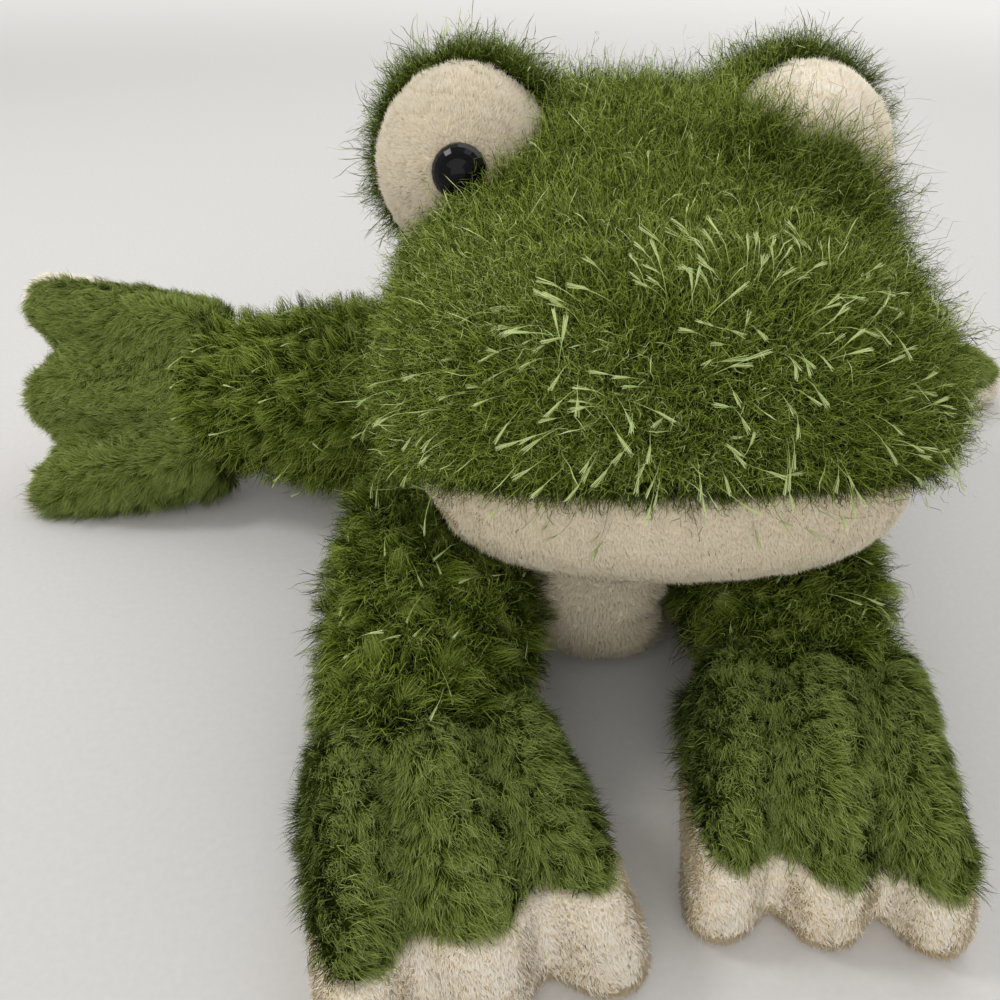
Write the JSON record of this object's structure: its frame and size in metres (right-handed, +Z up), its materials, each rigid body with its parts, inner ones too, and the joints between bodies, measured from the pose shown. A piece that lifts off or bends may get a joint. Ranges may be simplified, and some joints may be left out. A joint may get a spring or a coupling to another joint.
{
  "type": "plush frog",
  "caption": "Floppy stuffed frog lying on its belly, with a big shaggy head, bulging cream eyes with black beads, splayed limbs and lobed plush hands and feet.",
  "frame": {"origin": "centre of the bounding box's bottom, on the surface that the toy lies on", "axes": "+X to the toy's left (image right), -Y to where its face points, +Z up"},
  "size_m": [0.2726, 0.2276, 0.1049],
  "materials": {
    "green_shag": "long shaggy pile, matt",
    "green_plush": "short plush pile, matt",
    "cream_plush": "short velour pile, matt",
    "filling_white": "loose fibre",
    "bead_black": "gloss",
    "washer_white": "moulded"
  },
  "bodies": {
    "torso": {"torso_back": "green_shag", "belly_panel": "cream_plush", "torso_filling": "filling_white"},
    "head": {"head_crown": "green_shag", "lower_jaw": "cream_plush", "head_filling": "filling_white", "right_eye_dome": "cream_plush", "right_brow": "green_shag", "right_eye_bead": "bead_black", "right_eye_washer": "washer_white", "left_eye_dome": "cream_plush", "left_brow": "green_shag", "left_eye_bead": "bead_black", "left_eye_washer": "washer_white"},
    "right_arm": {"right_arm": "green_shag"},
    "right_hand": {"right_hand": "green_plush", "right_palm": "cream_plush"},
    "right_leg": {"right_leg": "green_shag"},
    "right_foot": {"right_foot": "green_plush", "right_sole": "cream_plush"},
    "left_arm": {"left_arm": "green_shag"},
    "left_hand": {"left_hand": "green_plush", "left_palm": "cream_plush"},
    "left_leg": {"left_leg": "green_shag"},
    "left_foot": {"left_foot": "green_plush", "left_sole": "cream_plush"}
  },
  "joints": [
    {"name": "neck_turn", "type": "hinge", "parent": "torso", "child": "head", "pos_m": [0.00864, -0.00599, 0.046], "axis": [0, 0, 1], "range_deg": [-18, 18]},
    {"name": "right_shoulder", "type": "hinge", "parent": "torso", "child": "right_arm", "pos_m": [-0.03176, -0.01199, 0.0275], "axis": [0, 0, 1], "range_deg": [-50, 0]},
    {"name": "left_shoulder", "type": "hinge", "parent": "torso", "child": "left_arm", "pos_m": [0.03424, -0.00399, 0.0275], "axis": [0, 0, 1], "range_deg": [0, 50]},
    {"name": "right_wrist", "type": "hinge", "parent": "right_arm", "child": "right_hand", "pos_m": [-0.04038, -0.0635, 0.0185], "axis": [0.9816, 0.1908, 0], "range_deg": [-20, 20]},
    {"name": "left_wrist", "type": "hinge", "parent": "left_arm", "child": "left_hand", "pos_m": [0.02878, -0.05593, 0.0185], "axis": [0.9848, -0.1736, 0], "range_deg": [-20, 20]},
    {"name": "right_hip", "type": "hinge", "parent": "torso", "child": "right_leg", "pos_m": [-0.02876, 0.03601, 0.0245], "axis": [0, 0, 1], "range_deg": [-33, 15]},
    {"name": "left_hip", "type": "hinge", "parent": "torso", "child": "left_leg", "pos_m": [0.03124, 0.03601, 0.0245], "axis": [0, 0, 1], "range_deg": [-39, 9]},
    {"name": "right_ankle", "type": "hinge", "parent": "right_leg", "child": "right_foot", "pos_m": [-0.07753, 0.04028, 0.0265], "axis": [0, 0, 1], "range_deg": [-20, 20]},
    {"name": "left_ankle", "type": "hinge", "parent": "left_leg", "child": "left_foot", "pos_m": [0.07366, 0.05952, 0.0175], "axis": [0, 0, 1], "range_deg": [-20, 20]}
  ]
}
